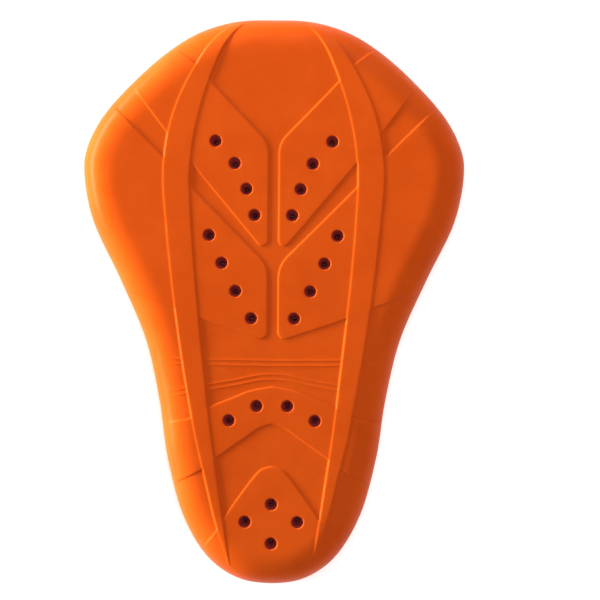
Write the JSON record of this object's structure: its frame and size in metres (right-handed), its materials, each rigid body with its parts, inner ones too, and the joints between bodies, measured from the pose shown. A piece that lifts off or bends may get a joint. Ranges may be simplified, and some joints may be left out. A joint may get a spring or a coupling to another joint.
{
  "type": "back protector pad",
  "caption": "Full-back protector insert: a moulded soft foam pad with raised panels, two long rails and vents, shaped from wide shoulders to a narrow tail.",
  "frame": {"origin": "middle of the pad's extent in X and Y, on its flat back", "axes": "+Z out of the ribbed face, +Y towards the neck end, +X towards the wearer's right side; it lies on its back, face up"},
  "size_m": [0.297, 0.44, 0.023],
  "materials": {
    "foam": "satin soft moulded foam with a smooth skin, orange"
  },
  "bodies": {
    "root": {"back_pad": "foam"}
  },
  "joints": []
}
